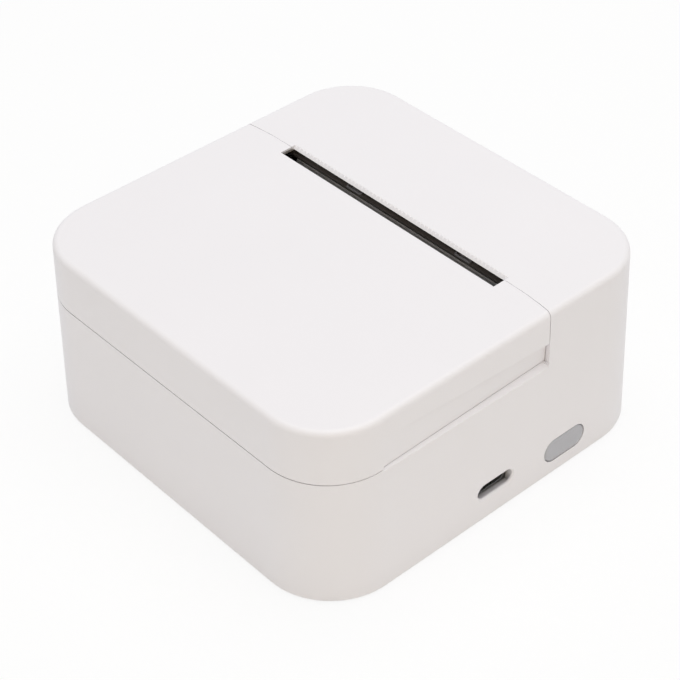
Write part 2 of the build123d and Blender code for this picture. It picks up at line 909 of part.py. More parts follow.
# Platen roller
gear_end_x = inner_gear_x + gear_width
with BuildPart() as platen_shaft:
    core_half = platen_half_length + core_shoulder
    add(rod(platen_y, platen_z, platen_core_radius, -core_half, 2 * core_half))
    journal_start = -bush_start_x - bush_length - journal_end
    journal_length = gear_end_x + journal_end - journal_start
    add(rod(platen_y, platen_z, journal_radius, journal_start, journal_length))

with BuildPart() as platen_rubber:
    rubber_length = 2 * platen_half_length
    add(rod(platen_y, platen_z, platen_radius, -platen_half_length, rubber_length))
    fillet(platen_rubber.edges().filter_by(GeomType.CIRCLE), rubber_round)
    core = rod(platen_y, platen_z, platen_core_radius, -platen_half_length, rubber_length)
    add(core, mode=Mode.SUBTRACT)

with BuildPart() as platen_bushes:
    with BuildSketch(Plane.YZ.offset(bush_start_x)):
        with Locations((platen_y, platen_z)):
            Circle(bush_radius)
            Circle(journal_radius + running_gap, mode=Mode.SUBTRACT)
    bush = extrude(amount=bush_length)
    mirror(bush, about=Plane.YZ)


def spur_gear(teeth, centre, phase, bore, start_x, width):
    """A spur gear on the X direction; phase is the angle of one tooth, in degrees from +Y."""
    pitch_radius = gear_module * teeth / 2
    base_radius = pitch_radius * cos(radians(pressure_angle))
    tip_radius = pitch_radius + addendum * gear_module
    root_radius = pitch_radius - dedendum * gear_module
    half_pitch_angle = (pi * gear_module / 2 - backlash) / (2 * pitch_radius)
    flat = tan(radians(pressure_angle)) - radians(pressure_angle)

    def half_angle(radius):
        inside = acos(min(1.0, base_radius / radius))
        return half_pitch_angle + flat - (tan(inside) - inside)

    middle_radius = (pitch_radius + tip_radius) / 2
    flank = [
        (root_radius * 0.9, half_angle(base_radius)),
        (max(root_radius, base_radius), half_angle(max(root_radius, base_radius))),
        (pitch_radius, half_angle(pitch_radius)),
        (middle_radius, half_angle(middle_radius)),
        (tip_radius, half_angle(tip_radius)),
    ]
    right = [(radius * cos(angle), -radius * sin(angle)) for radius, angle in flank]
    left = [(radius * cos(angle), radius * sin(angle)) for radius, angle in reversed(flank)]
    with BuildPart() as gear:
        with BuildSketch(Plane.YZ.offset(start_x)):
            with Locations(Location((centre[0], centre[1], 0), (0, 0, phase))):
                Circle(root_radius)
                with PolarLocations(0, teeth):
                    Polygon(*right, *left, align=None)
                Circle(bore, mode=Mode.SUBTRACT)
        extrude(amount=width)
    return gear.part


def mesh_distance(first, second):
    """Centre distance of two gears in mesh."""
    return gear_module * (first + second) / 2 + mesh_slack


def step_from(point, angle, distance):
    """The point that lies distance away from point in the direction angle, in degrees."""
    return (point[0] + distance * cos(radians(angle)), point[1] + distance * sin(radians(angle)))


def meshed_phase(line_angle, first_phase, first_teeth, second_teeth):
    """Tooth angle of a gear that meshes with one at first_phase along line_angle."""
    turned = (first_phase - line_angle) * first_teeth / second_teeth
    return line_angle + 180 + 180 / second_teeth - turned


# The idler lies straight behind the platen gear's way out, so that the lid lifts one clear of the other
swing_angle = degrees(acos((platen_y - hinge_y) / (platen_reach - platen_radius)))
idler_line = swing_angle - 90
platen_centre = (platen_y, platen_z)
idler_centre = step_from(platen_centre, idler_line, mesh_distance(platen_teeth, idler_teeth))
reduction_centre = step_from(idler_centre, reduction_angle, mesh_distance(idler_teeth, small_teeth))
motor_centre = step_from(reduction_centre, motor_angle, mesh_distance(large_teeth, pinion_teeth))
idler_phase = meshed_phase(idler_line, idler_line, platen_teeth, idler_teeth)
small_phase = meshed_phase(reduction_angle, idler_phase, idler_teeth, small_teeth)
pinion_phase = meshed_phase(motor_angle, motor_angle, large_teeth, pinion_teeth)

with BuildPart() as platen_gear:
    add(spur_gear(platen_teeth, platen_centre, idler_line, journal_radius, inner_gear_x, gear_width))

with BuildPart() as idler_gear:
    bore = axle_radius + running_gap
    add(spur_gear(idler_teeth, idler_centre, idler_phase, bore, inner_gear_x, gear_width))

with BuildPart() as reduction_gear:
    bore = axle_radius + running_gap
    add(spur_gear(small_teeth, reduction_centre, small_phase, bore, inner_gear_x, gear_width))
    add(spur_gear(large_teeth, reduction_centre, motor_angle, bore, outer_gear_x, gear_width))
    with BuildSketch(Plane.YZ.offset(inner_gear_x + gear_width)):
        with Locations(reduction_centre):
            Circle(gear_module * small_teeth / 2 - dedendum * gear_module)
            Circle(bore, mode=Mode.SUBTRACT)
    extrude(amount=outer_gear_x - inner_gear_x - gear_width)

with BuildPart() as motor_pinion:
    add(spur_gear(pinion_teeth, motor_centre, pinion_phase, motor_shaft_radius, outer_gear_x, gear_width))

# Axles stand in the right cheek; the large gear's rim keeps the idler on, a clip keeps the large gear on
with BuildPart() as idler_axle:
    add(rod(*idler_centre, axle_radius, cheek_inner_x, idler_axle_end - cheek_inner_x))

with BuildPart() as reduction_axle:
    add(rod(*reduction_centre, axle_radius, cheek_inner_x, reduction_axle_end - cheek_inner_x))

with BuildPart() as axle_clip:
    with BuildSketch(Plane.YZ.offset(reduction_axle_end - axle_clip_setback)):
        with Locations(reduction_centre):
            Circle(axle_radius + axle_clip_wall)
            Circle(axle_radius, mode=Mode.SUBTRACT)
        with Locations((reduction_centre[0] + axle_radius + axle_clip_wall, reduction_centre[1])):
            Rectangle(2 * axle_radius, axle_clip_mouth, mode=Mode.SUBTRACT)
    extrude(amount=axle_clip_thickness)

# Motor
motor_face_x = cheek_inner_x
with BuildPart() as motor_body:
    add(rod(*motor_centre, motor_radius, motor_face_x - motor_length, motor_length))
    chamfer(motor_body.edges().filter_by(GeomType.CIRCLE), motor_edge)
    add(rod(*motor_centre, motor_boss_radius - running_gap, motor_face_x, cheek_thickness))
    bore = motor_shaft_radius + running_gap
    bore_length = motor_length + 2 * cheek_thickness
    add(rod(*motor_centre, bore, motor_face_x - motor_length, bore_length), mode=Mode.SUBTRACT)
    for way in (-1, 1):
        place = (motor_centre[0], motor_centre[1] + way * motor_screw_offset)
        pilot = rod(*place, motor_screw_radius, motor_face_x - motor_screw_depth, motor_screw_depth)
        add(pilot, mode=Mode.SUBTRACT)

motor_tail_x = motor_face_x - motor_length - motor_shaft_tail
motor_shaft_length = outer_gear_x + gear_width + motor_shaft_end - motor_tail_x
with BuildPart() as motor_shaft:
    add(rod(*motor_centre, motor_shaft_radius, motor_tail_x, motor_shaft_length))

with BuildPart() as motor_screws:
    for way in (-1, 1):
        place = (motor_centre[0], motor_centre[1] + way * motor_screw_offset)
        shank_length = cheek_thickness + motor_screw_depth
        add(rod(*place, motor_screw_radius, cheek_inner_x - motor_screw_depth, shank_length))
        add(rod(*place, motor_screw_head_radius, cheek_outer_x, motor_screw_head_height))

# Print head
sink_front = platen_radius + head_gap + ceramic_thickness
sink_back = sink_front + sink_thickness
head_pivot = head_point(head_pivot_back, -head_pivot_drop)
with BuildPart() as head_ceramic:
    front = platen_radius + head_gap
    outline = [
        head_point(front, -ceramic_below),
        head_point(front, ceramic_above),
        head_point(sink_front, ceramic_above),
        head_point(sink_front, -ceramic_below),
    ]
    add(slab(outline, -head_half_width, 2 * head_half_width))

with BuildPart() as head_driver_cover:
    front = platen_radius + head_gap
    outline = [
        head_point(front - driver_cover_proud, -ceramic_below + driver_cover_proud),
        head_point(front, -ceramic_below + driver_cover_length),
        head_point(front, -ceramic_below),
        head_point(front - driver_cover_proud, -ceramic_below + driver_cover_proud / 2),
    ]
    cover_half = head_half_width - driver_cover_inset
    add(slab(outline, -cover_half, 2 * cover_half))

with BuildPart() as head_heat_sink:
    outline = [
        head_point(sink_front, -sink_below),
        head_point(sink_front, sink_above),
        head_point(sink_back, sink_above),
        head_point(sink_back, -sink_below),
    ]
    add(slab(outline, -head_half_width, 2 * head_half_width))
    ear_start = head_half_width - head_ear_length
    ear = rod(*head_pivot, head_pin_radius + head_ear_wall, ear_start, head_ear_length)
    for side in both_sides(ear):
        add(side)
    bore = rod(*head_pivot, head_pin_radius + running_gap, ear_start, 2 * head_ear_length)
    for side in both_sides(bore):
        add(side, mode=Mode.SUBTRACT)

with BuildPart() as head_pivot_pins:
    pin_start = head_half_width - head_pin_engagement
    for pin in both_sides(rod(*head_pivot, head_pin_radius, pin_start, cheek_outer_x - pin_start)):
        add(pin)

spring_foot = sink_back + spring_gap + spring_space
spring_middle = head_point(spring_foot, -spring_drop)
spring_way = (0, -cos(radians(head_tilt)), -sin(radians(head_tilt)))
spring_rise = spring_space - 2 * spring_wire_radius
with BuildPart() as head_springs:
    for x in (-spring_x, spring_x):
        start = head_point(spring_foot - spring_wire_radius, -spring_drop)
        with BuildLine():
            coil = Helix(
                spring_rise / spring_turns,
                spring_rise,
                spring_radius,
                center=(x, start[0], start[1]),
                direction=spring_way,
            )
        with BuildSketch(Plane(origin=coil @ 0, z_dir=coil % 0)):
            Circle(spring_wire_radius)
        sweep(path=coil, is_frenet=True)

# Front edge of the guard over the head, just outside the platen's swing
guard_top_z = ceiling_z - guard_gap
guard_reach = platen_reach + sweep_gap + running_gap


def guard_point(z):
    """A point at height z on the guard's front face, which follows the platen's swing."""
    return (hinge_y + sqrt(guard_reach**2 - (z - hinge_z) ** 2), z)


guard_front = guard_point(guard_top_z)
guard_low = guard_point(guard_top_z - guard_lip)
guard_back_y = head_point(sink_back, sink_above)[0] - guard_thickness

with BuildPart() as guard_clips:
    clip_y = guard_front[0] + clip_wire / 2
    for x in clip_places_x:
        with BuildSketch(Plane.XY.offset(guard_top_z)):
            with BuildLine():
                FilletPolyline(
                    (x - clip_length / 2, clip_y + clip_width),
                    (x - clip_length / 2, clip_y),
                    (x + clip_length / 2, clip_y),
                    (x + clip_length / 2, clip_y + clip_width),
                    (x - clip_length / 4, clip_y + clip_width),
                    radius=clip_wire,
                )
            trace(line_width=clip_wire)
        extrude(amount=clip_wire)

# Spring catches that hold the closed lid by its platen brackets, seated in the cheeks
with BuildPart() as catch_springs:
    catch_y = platen_y + bracket_radius + catch_gap
    with BuildSketch(Plane.YZ.offset(cheek_inner_x + catch_side_gap)):
        with BuildLine():
            FilletPolyline(
                (catch_y, cheek_step_z - 1.5),
                (catch_y, platen_z - 1.0),
                (catch_y - 0.6, platen_z + 1.6),
                (catch_y + 0.3, platen_z + 2.6),
                radius=0.5,
            )
        trace(line_width=catch_leaf)
    leaf = extrude(amount=cheek_thickness - 2 * catch_side_gap)
    mirror(leaf, about=Plane.YZ)

# Mechanism frame: two cheeks joined by the spring wall and a tie bar
with BuildPart() as mechanism_frame:
    wall_top = head_point(spring_foot, 0.9)
    wall_low = head_point(spring_foot, -spring_wall_below)
    outer_top = head_point(spring_foot + frame_wall, 0.5)
    outer_low = head_point(spring_foot + frame_wall, -spring_wall_below)
    front_z = cheek_step_z
    cheek = [
        (cheek_front_y, shelf_top_z),
        (cheek_rear_y, shelf_top_z),
        (cheek_rear_y, front_z - 1),
        (outer_low[0] + 1, front_z + 1),
        outer_top,
        (head_point(sink_back, 0)[0] + 2, wall_top[1]),
        (head_point(sink_back, 0)[0] - 1.2, front_z + 2.6),
        (platen_y + bracket_radius + 2, front_z),
        (cheek_front_y, front_z),
    ]
    for side in both_sides(slab(cheek, cheek_inner_x, cheek_thickness)):
        add(side)
    add(slab([wall_low, wall_top, outer_top, outer_low], -cheek_outer_x, 2 * cheek_outer_x))
    tie = [
        (cheek_rear_y - tie_thickness, shelf_top_z),
        (cheek_rear_y, shelf_top_z),
        (cheek_rear_y, shelf_top_z + tie_height),
        (cheek_rear_y - tie_thickness, shelf_top_z + tie_height),
    ]
    add(slab(tie, -cheek_outer_x, 2 * cheek_outer_x))
    # thin guard that hides the head, from the platen's swing back to the spring wall
    guard = [
        guard_front,
        (wall_top[0] + frame_wall, guard_top_z),
        (wall_top[0] + frame_wall, wall_top[1] - guard_thickness),
        (wall_top[0], guard_top_z - guard_thickness),
        (guard_back_y, guard_top_z - guard_thickness),
        guard_low,
    ]
    add(slab(guard, -cheek_outer_x, 2 * cheek_outer_x))
    # pegs inside the springs
    for x in (-spring_x, spring_x):
        peg_plane = Plane(origin=(x, *spring_middle), x_dir=(1, 0, 0), z_dir=spring_way)
        with BuildSketch(peg_plane):
            Circle(spring_radius - spring_wire_radius - peg_clearance)
        extrude(amount=spring_space / 2)
    # feet with their screws
    with BuildSketch(Plane.XY.offset(shelf_top_z)):
        for x, y in frame_screw_places:
            inner = min(abs(x) - frame_foot / 2, cheek_inner_x)
            outer = max(abs(x) + frame_foot / 2, cheek_outer_x)
            with Locations(((inner + outer) / 2 * (1 if x > 0 else -1), y)):
                Rectangle(outer - inner, frame_foot)
    extrude(amount=frame_foot_thickness)
    with BuildSketch(Plane.XY.offset(shelf_top_z)):
        with Locations(*frame_screw_places):
            Circle(screw_pass_radius)
    extrude(amount=frame_foot_thickness, mode=Mode.SUBTRACT)
    # holes for axles, pivot pins and motor
    right_holes = [
        (idler_centre, axle_radius),
        (reduction_centre, axle_radius),
        (head_pivot, head_pin_radius),
        (motor_centre, motor_boss_radius),
        (step_from(motor_centre, 90, motor_screw_offset), motor_screw_radius + running_gap),
        (step_from(motor_centre, -90, motor_screw_offset), motor_screw_radius + running_gap),
    ]
    for centre, radius in right_holes:
        add(rod(*centre, radius, cheek_inner_x, cheek_thickness), mode=Mode.SUBTRACT)
    left_hole = rod(*head_pivot, head_pin_radius, -cheek_outer_x, cheek_thickness)
    add(left_hole, mode=Mode.SUBTRACT)
    add(catch_springs.part, mode=Mode.SUBTRACT)

frame_seat_z = shelf_top_z + frame_foot_thickness
frame_screw_reach = frame_foot_thickness + shelf_thickness - screw_sink
frame_screws = pan_screws(frame_screw_places, frame_seat_z, frame_screw_reach, True)

# Chassis: paper trough, ramp to the platen and shelf for the mechanism
ramp_start = (trough_rear_y - trough_wall, roll_centre_z)
ramp_end = (platen_y + ramp_back, platen_z - ramp_drop)
shelf_front_y = roll_centre_y + trough_outer * 0.75
with BuildPart() as chassis:
    with BuildSketch(Plane.YZ.offset(-trough_half)):
        with Locations((roll_centre_y, roll_centre_z)):
            Circle(trough_outer)
        with Locations((trough_front_y, roll_centre_z)):
            Rectangle(2 * trough_outer, end_wall_top - roll_centre_z, align=(Align.MIN, Align.MIN))
        with Locations((trough_front_y, end_wall_top)):
            Rectangle(3 * trough_outer, trough_outer, align=(Align.MIN, Align.MIN), mode=Mode.SUBTRACT)
        Polygon(
            (ramp_start[0], shelf_z),
            (ramp_end[0], shelf_z),
            ramp_end,
            (ramp_start[0], roll_centre_z + ramp_lip),
            align=None,
        )
    extrude(amount=2 * trough_half)
    # shelf
    with BuildSketch(Plane.XY.offset(shelf_z)):
        with Locations((0, shelf_front_y)):
            Rectangle(
                2 * shelf_half_width,
                shelf_rear_y - shelf_front_y,
                align=(Align.CENTER, Align.MIN),
            )
        case_section(shelf_z, wall + shelf_margin, mode=Mode.INTERSECT)
    extrude(amount=shelf_thickness)
    # ribs that stand on the base cover
    for x in (-rib_x, rib_x):
        rib_front_y = roll_centre_y - rib_front_step
        with BuildSketch(Plane.YZ.offset(x - rib_thickness / 2)):
            with Locations((rib_front_y, base_top_z)):
                Rectangle(
                    rib_rear_y - rib_front_y,
                    roll_centre_z - base_top_z,
                    align=(Align.MIN, Align.MIN),
                )
        extrude(amount=rib_thickness)
    # hinge bosses
    boss_start = arm_start_x - arm_gap - hinge_boss_length
    for boss in both_sides(rod(hinge_y, hinge_z, hinge_eye_radius, boss_start, hinge_boss_length)):
        add(boss)
    # space for the paper roll
    with BuildSketch(Plane.YZ.offset(-inside_half_width)):
        with Locations((roll_centre_y, roll_centre_z)):
            Circle(roll_space_radius)
        with Locations((roll_centre_y, roll_centre_z)):
            Rectangle(
                2 * roll_space_radius,
                trough_outer,
                align=(Align.CENTER, Align.MIN),
            )
    extrude(amount=2 * inside_half_width, mode=Mode.SUBTRACT)
    # lower front edge for fingers and the hollow under the ramp
    with BuildSketch(Plane.YZ.offset(-inside_half_width)):
        with Locations((trough_front_y, trough_front_top)):
            Rectangle(2 * trough_wall, trough_outer, align=(Align.MIN, Align.MIN))
        Polygon(
            (trough_rear_y, shelf_top_z),
            (ramp_end[0], shelf_top_z),
            (ramp_end[0], ramp_end[1] - ramp_wall),
            (trough_rear_y, roll_centre_z + ramp_lip - ramp_wall),
            align=None,
        )
    extrude(amount=2 * inside_half_width, mode=Mode.SUBTRACT)
    for pin in both_sides(rod(hinge_y, hinge_z, hinge_pin_radius, boss_start, hinge_boss_length)):
        add(pin, mode=Mode.SUBTRACT)
    with BuildSketch(Plane.XY.offset(shelf_z)):
        with Locations(*post_places):
            Circle(screw_pass_radius)
        with Locations(*frame_screw_places):
            Circle(screw_hole_radius)
        with Locations((flex_x, flex_y)):
            Rectangle(
                flex_connector_size[0] + flex_slot_play,
                flex_connector_size[1],
            )
    extrude(amount=shelf_thickness, mode=Mode.SUBTRACT)

chassis_screws = pan_screws(post_places, shelf_top_z, shelf_thickness + post_screw_depth, True)

# Paper sensor under the ramp
ramp_slope = atan(
    (ramp_end[1] - roll_centre_z - ramp_lip) / (ramp_end[0] - trough_rear_y)
)
sensor_y = trough_rear_y + sensor_step
sensor_z = roll_centre_z + ramp_lip - ramp_wall + sensor_step * tan(ramp_slope) - sensor_gap
with BuildPart() as paper_sensor:
    sensor_plane = Plane(
        origin=(-sensor_x, sensor_y, sensor_z),
        x_dir=(1, 0, 0),
        z_dir=(0, sin(ramp_slope), -cos(ramp_slope)),
    )
    with BuildSketch(sensor_plane):
        Rectangle(sensor_length, sensor_width)
    extrude(amount=sensor_thickness)

# Main board
with BuildPart() as main_board:
    with BuildSketch(Plane.XY.offset(board_top_z - board_thickness)):
        with Locations((board_left_x, board_front_y)):
            Rectangle(
                board_right_x - board_left_x,
                board_rear_y - board_front_y,
                align=(Align.MIN, Align.MIN),
            )
        with Locations(*board_post_places):
            Circle(post_radius + post_board_gap, mode=Mode.SUBTRACT)
    extrude(amount=board_thickness)


def board_box(x, y, size):
    """A part of the given size that stands on the board."""
    width, depth, height = size
    with BuildPart() as made:
        with BuildSketch(Plane.XY.offset(board_top_z)):
            with Locations((x, y)):
                Rectangle(width, depth)
        extrude(amount=height)
    return made.part


radio_x = board_left_x + board_margin + radio_size[0] / 2
radio_y = board_front_y + board_margin + radio_size[1] / 2 + part_gap
processor_x = board_left_x + board_margin + processor_size[0] / 2 + part_gap
processor_y = board_rear_y - board_margin - processor_size[1] / 2
battery_connector_x = board_left_x + part_gap + battery_connector_size[0] / 2
battery_connector_y = flex_y - flex_connector_size[1] / 2 - battery_connector_size[1] / 2 - part_gap
power_chip_x = processor_x + processor_size[0] / 2 + power_chip_size[0] / 2 + 5 * part_gap
inductor_x = radio_x + radio_size[0] / 2 + inductor_size[0] / 2 + 4 * part_gap
capacitor_x = battery_connector_x + battery_connector_size[0] / 2 + capacitor_size[0] / 2 + 2 * part_gap
capacitor_y = radio_y + radio_size[1] / 2 + 3 * part_gap
with BuildPart() as board_chips:
    add(board_box(processor_x, processor_y, processor_size))
    add(board_box(power_chip_x, processor_y, power_chip_size))
    add(board_box(inductor_x, radio_y, inductor_size))
    for place in range(2):
        x = capacitor_x + place * (capacitor_size[0] + part_gap)
        add(board_box(x, capacitor_y, capacitor_size))

with BuildPart() as radio_module:
    add(board_box(radio_x, radio_y, radio_size))

with BuildPart() as flex_connector:
    add(board_box(flex_x, flex_y, flex_connector_size))

with BuildPart() as battery_connector:
    add(board_box(battery_connector_x, battery_connector_y, battery_connector_size))

# Micro-USB socket: a bent metal shell with its tongue
socket_mouth_x = side_x(socket_z) - socket_setback


def socket_outline(inset):
    """Mouth outline of the socket as (y, z) corners: the lower corners are cut off."""
    half = socket_width / 2 - inset
    low = board_top_z + inset
    high = board_top_z + socket_height - inset
    return [
        (socket_y - half, high),
        (socket_y - half, low + socket_corner_rise),
        (socket_y - half + socket_corner_inset, low),
        (socket_y + half - socket_corner_inset, low),
        (socket_y + half, low + socket_corner_rise),
        (socket_y + half, high),
    ]


socket_back_x = socket_mouth_x - socket_depth
with BuildPart() as usb_socket:
    add(slab(socket_outline(0), socket_back_x, socket_depth))
    hollow = slab(socket_outline(socket_metal), socket_back_x + socket_back, socket_depth)
    add(hollow, mode=Mode.SUBTRACT)

with BuildPart() as usb_tongue:
    tongue_low = board_top_z + tongue_rise
    tongue = [
        (socket_y - tongue_width / 2, tongue_low),
        (socket_y + tongue_width / 2, tongue_low),
        (socket_y + tongue_width / 2, tongue_low + tongue_height),
        (socket_y - tongue_width / 2, tongue_low + tongue_height),
    ]
    add(slab(tongue, socket_back_x + socket_back, socket_depth - socket_back - tongue_recess))

# Button, switch and plunger
plunger_z = board_top_z + switch_height / 2
with BuildPart() as tact_switch:
    with BuildSketch(Plane.YZ.offset(switch_x - switch_depth)):
        with Locations((button_y, plunger_z)):
            Rectangle(switch_width, switch_height)
    extrude(amount=switch_depth)
    with BuildSketch(Plane.YZ.offset(switch_x - switch_well)):
        with Locations((button_y, plunger_z)):
            Rectangle(plunger_width + 2 * plunger_play, plunger_height + 2 * plunger_play)
    extrude(amount=switch_well, mode=Mode.SUBTRACT)

with BuildPart() as switch_plunger:
    with BuildSketch(Plane.YZ.offset(switch_x - switch_well / 2)):
        with Locations((button_y, plunger_z)):
            Rectangle(plunger_width, plunger_height)
    extrude(amount=switch_well / 2 + plunger_travel)

with BuildPart() as button_cap:
    with BuildSketch(wall_plane(button_y, button_z, button_proud)):
        SlotOverall(button_length, button_height)
    extrude(amount=-(wall + button_proud + 2 * button_flange_gap))
    fillet(button_cap.faces().sort_by(Axis.X)[-1].edges(), button_round)
    with BuildSketch(wall_plane(button_y, button_z, -wall - button_flange_gap)):
        SlotOverall(
            button_length + 2 * button_flange_length,
            button_height + 2 * button_flange_height,
        )
    extrude(amount=-button_flange)
    stem_start = switch_x + plunger_travel
    stem_end = side_x(button_z) - wall - 2 * button_flange_gap
    with BuildSketch(Plane.YZ.offset(stem_start)):
        with Locations((button_y, plunger_z)):
            Rectangle(1.5 * plunger_width, 1.4 * plunger_height)
    extrude(amount=stem_end - stem_start)

# Battery with its pad and leads
with BuildPart() as battery:
    with BuildSketch(Plane.XY.offset(base_top_z + pad_thickness)):
        with Locations((battery_right_x, battery_front_y)):
            Rectangle(battery_length, battery_depth, align=(Align.MAX, Align.MIN))
    extrude(amount=battery_thickness)
    fillet(battery.edges().filter_by(Axis.Y), battery_round)

with BuildPart() as battery_pad:
    with BuildSketch(Plane.XY.offset(base_top_z)):
        with Locations((battery_right_x - battery_length / 2, battery_front_y + battery_depth / 2)):
            Rectangle(battery_length - 2 * battery_round - pad_margin, battery_depth - 2 * pad_margin)
    extrude(amount=pad_thickness)

with BuildPart() as battery_leads:
    lead_z = board_top_z + battery_connector_size[2] / 2
    for way in (-1, 1):
        with BuildSketch(Plane.YZ.offset(battery_right_x)):
            with Locations((battery_connector_y + way * lead_spread / 2, lead_z)):
                Circle(lead_radius)
        extrude(amount=battery_connector_x - battery_connector_size[0] / 2 - battery_right_x)

# Flat cable from the print head down to the board
with BuildPart() as head_flex_cable:
    cable_top = head_point(sink_front + sink_thickness / 2, -sink_below - flex_thickness / 2)
    with BuildSketch(Plane.YZ.offset(flex_x - flex_width / 2)):
        with BuildLine():
            FilletPolyline(
                cable_top,
                (cable_top[0] - flex_bend / 6, cable_top[1] - 1.3 * flex_bend),
                (flex_y, shelf_top_z + 1.2 * flex_bend),
                (flex_y, board_top_z + flex_connector_size[2]),
                radius=flex_bend,
            )
        trace(line_width=flex_thickness)
    extrude(amount=flex_width)

pieces = {
    "outer_shell": outer_shell,
    "base_cover": base_cover,
    "base_screws": base_screws,
    "rubber_feet": rubber_feet,
    "lid_cover": lid_cover,
    "lid_frame": lid_frame,
    "lid_screws": lid_screws,
    "hinge_pins": hinge_pins,
    "platen_shaft": platen_shaft,
    "platen_rubber": platen_rubber,
    "platen_bushes": platen_bushes,
    "platen_gear": platen_gear,
    "idler_gear": idler_gear,
    "idler_axle": idler_axle,
    "reduction_gear": reduction_gear,
    "reduction_axle": reduction_axle,
    "axle_clip": axle_clip,
    "motor_body": motor_body,
    "motor_shaft": motor_shaft,
    "motor_pinion": motor_pinion,
    "motor_screws": motor_screws,
    "head_heat_sink": head_heat_sink,
    "head_ceramic": head_ceramic,
    "head_driver_cover": head_driver_cover,
    "head_pivot_pins": head_pivot_pins,
    "head_springs": head_springs,
    "head_flex_cable": head_flex_cable,
    "mechanism_frame": mechanism_frame,
    "frame_screws": frame_screws,
    "catch_springs": catch_springs,
    "guard_clips": guard_clips,
    "chassis": chassis,
    "chassis_screws": chassis_screws,
    "paper_sensor": paper_sensor,
    "main_board": main_board,
    "board_chips": board_chips,
    "radio_module": radio_module,
    "flex_connector": flex_connector,
    "battery_connector": battery_connector,
    "usb_socket": usb_socket,
    "usb_tongue": usb_tongue,
    "tact_switch": tact_switch,
    "switch_plunger": switch_plunger,
    "button_cap": button_cap,
    "battery": battery,
    "battery_pad": battery_pad,
    "battery_leads": battery_leads,
}
for name, piece in pieces.items():
    keep(piece, name)
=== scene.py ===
"""Looks of the portable thermal printer: camera, light, floor and a procedural material for every piece.

Everything is in metres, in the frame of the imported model. +X is the side with the socket and the button.
"""
import json
import math

import bpy
from mathutils import Matrix, Vector

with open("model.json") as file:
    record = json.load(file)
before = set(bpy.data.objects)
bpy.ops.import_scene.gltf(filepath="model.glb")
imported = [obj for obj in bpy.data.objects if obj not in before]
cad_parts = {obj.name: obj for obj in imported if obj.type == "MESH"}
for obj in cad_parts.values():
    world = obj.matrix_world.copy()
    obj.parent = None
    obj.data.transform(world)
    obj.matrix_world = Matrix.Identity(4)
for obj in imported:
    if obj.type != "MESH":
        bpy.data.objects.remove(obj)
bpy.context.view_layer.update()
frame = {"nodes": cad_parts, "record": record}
NODES = frame["nodes"]
MM = 0.001
FLOOR_GAP = 0.02 * MM


# Camera: fitted to the photograph's edges
CAMERA_AZIMUTH = math.radians(48.97)
CAMERA_ELEVATION = math.radians(39.65)
CAMERA_ROLL = -0.023
CAMERA_PLACE = Vector((213.32, -186.05, 249.36)) * MM
FOCAL_PIXELS = 1923.4
IMAGE_PIXELS = 680
SENSOR_WIDTH = 36.0


def make_camera():
    back = Vector(
        (
            math.sin(CAMERA_AZIMUTH) * math.cos(CAMERA_ELEVATION),
            -math.cos(CAMERA_AZIMUTH) * math.cos(CAMERA_ELEVATION),
            math.sin(CAMERA_ELEVATION),
        )
    )
    level = Vector((math.cos(CAMERA_AZIMUTH), math.sin(CAMERA_AZIMUTH), 0))
    upright = back.cross(level)
    right = math.cos(CAMERA_ROLL) * level + math.sin(CAMERA_ROLL) * upright
    up = -math.sin(CAMERA_ROLL) * level + math.cos(CAMERA_ROLL) * upright
    data = bpy.data.cameras.new("photo_camera")
    data.sensor_width = SENSOR_WIDTH
    data.sensor_fit = "HORIZONTAL"
    data.lens = FOCAL_PIXELS / IMAGE_PIXELS * SENSOR_WIDTH
    data.clip_start = 0.01
    data.clip_end = 20
    camera = bpy.data.objects.new("photo_camera", data)
    turn = Matrix((right, up, back)).transposed().to_4x4()
    camera.matrix_world = Matrix.Translation(CAMERA_PLACE) @ turn
    bpy.context.scene.collection.objects.link(camera)
    bpy.context.scene.camera = camera


def srgb(red, green, blue):
    """Linear colour of an sRGB value from 0 to 255."""
    out = []
    for value in (red, green, blue):
        part = value / 255
        out.append(part / 12.92 if part <= 0.04045 else ((part + 0.055) / 1.055) ** 2.4)
    return (*out, 1.0)


class Nodes:
    """A short way to build a material's node tree."""

    def __init__(self, name):
        self.material = bpy.data.materials.new(name)
        self.material.use_nodes = True
        self.tree = self.material.node_tree
        self.tree.nodes.clear()
        self.output = self.add("ShaderNodeOutputMaterial")

    def add(self, kind, **settings):
        node = self.tree.nodes.new(kind)
        for key, value in settings.items():
            if key in node.inputs:
                node.inputs[key].default_value = value
            else:
                setattr(node, key, value)
        return node

    def link(self, start, end):
        self.tree.links.new(start, end)

    def place(self):
        """Object coordinates in metres, the same for every piece."""
        return self.add("ShaderNodeTexCoord").outputs["Object"]

    def noise(self, scale, detail=3.0, rough=0.55, stretch=None):
        """Noise between about 0 and 1; scale is in features per metre."""
        node = self.add("ShaderNodeTexNoise", Scale=scale, Detail=detail, Roughness=rough)
        where = self.place()
        if stretch:
            mapping = self.add("ShaderNodeMapping")
            mapping.inputs["Scale"].default_value = stretch
            self.link(where, mapping.inputs["Vector"])
            where = mapping.outputs["Vector"]
        self.link(where, node.inputs["Vector"])
        return node.outputs["Fac"]

    def spread(self, value, low, high, start=0.3, end=0.7):
        """Maps a 0 to 1 value onto low to high."""
        node = self.add("ShaderNodeMapRange")
        node.inputs["From Min"].default_value = start
        node.inputs["From Max"].default_value = end
        node.inputs["To Min"].default_value = low
        node.inputs["To Max"].default_value = high
        self.link(value, node.inputs["Value"])
        return node.outputs["Result"]

    def blend(self, value, first, second):
        """A colour between first and second."""
        node = self.add("ShaderNodeMix", data_type="RGBA")
        self.link(value, node.inputs["Factor"])
        node.inputs[6].default_value = first
        node.inputs[7].default_value = second
        return node.outputs[2]

    def bump(self, height, distance):
        node = self.add("ShaderNodeBump", Distance=distance, Strength=1.0)
        self.link(height, node.inputs["Height"])
        return node.outputs["Normal"]


